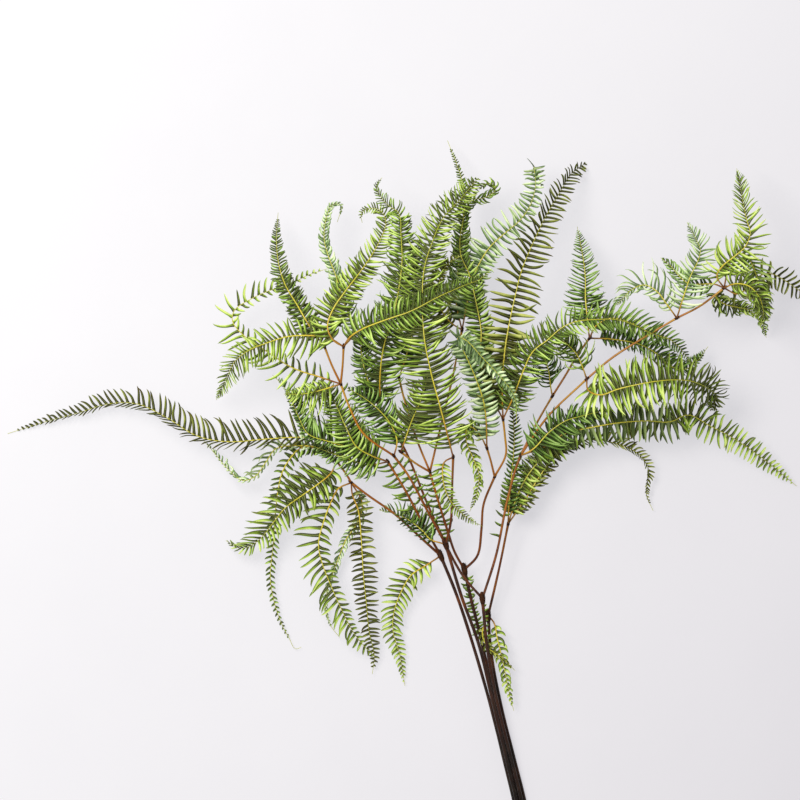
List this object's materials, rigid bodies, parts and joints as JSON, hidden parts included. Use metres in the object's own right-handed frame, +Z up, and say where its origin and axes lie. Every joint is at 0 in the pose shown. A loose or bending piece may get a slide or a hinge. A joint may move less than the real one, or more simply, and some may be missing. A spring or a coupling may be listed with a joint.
{
  "type": "dried fern frond spray",
  "caption": "Loose spray of dried forked fern laid down: slim dark stalks that fork into long drooping pinnae of narrow comb-like green leaflets.",
  "frame": {"origin": "centre of the plan outline, on the table the spray lies on", "axes": "+X along the widest spread of the fronds, +Y from the cut ends to the top of the spray, +Z up from the table"},
  "size_m": [0.5808, 0.5116, 0.1205],
  "materials": {
    "stalk": "dry woody stalk, red-brown to near black, low satin",
    "fresh": "dried leaf, yellow-green, matt with a faint waxy sheen",
    "leaf": "dried leaf, mid green, matt with a faint waxy sheen",
    "deep": "dried leaf, deep green, matt with a faint waxy sheen",
    "olive": "dried leaf, olive green browned at the edges, matt",
    "pale": "dried leaf showing its pale grey-green underside, matt"
  },
  "bodies": {
    "root": {"stalk_a": "stalk", "stalk_b": "stalk", "stalk_c": "stalk", "stalk_d": "stalk", "stalk_e": "stalk", "a_bow": "fresh", "a_plumb": "olive", "a_crook": "pale", "a_wing": "fresh", "a_thread": "leaf", "a_curl": "pale", "a_sweep": "olive", "a_short": "deep", "a_edge": "deep", "a_back": "leaf", "a_spur": "fresh", "b_ruff": "deep", "b_loop": "fresh", "b_skirt": "fresh", "b_spike": "leaf", "b_hook": "fresh", "b_lean": "fresh", "b_cross": "leaf", "b_nod": "pale", "b_crest": "fresh", "b_drop": "fresh", "b_under": "deep", "c_behind": "deep", "c_bright": "fresh", "c_tall": "olive", "c_arch": "leaf", "c_needle": "leaf", "c_fold": "pale", "c_fall": "fresh", "c_plume": "pale", "c_ring": "leaf", "c_shade": "olive", "d_under": "deep", "d_reach": "fresh", "d_shag": "deep", "d_hand": "leaf", "d_bright": "fresh", "d_arrow": "deep", "d_comb": "deep", "d_roof": "deep", "d_ghost": "pale", "d_mist": "pale", "d_dark": "deep", "d_spire": "fresh", "d_droop": "leaf", "d_ball": "fresh", "d_right": "olive", "d_lap": "fresh", "d_stripe": "leaf", "d_shadow": "deep", "e_arch": "olive", "e_light": "fresh", "e_climb": "deep", "e_spur": "fresh", "e_twig": "olive"}
  },
  "joints": []
}
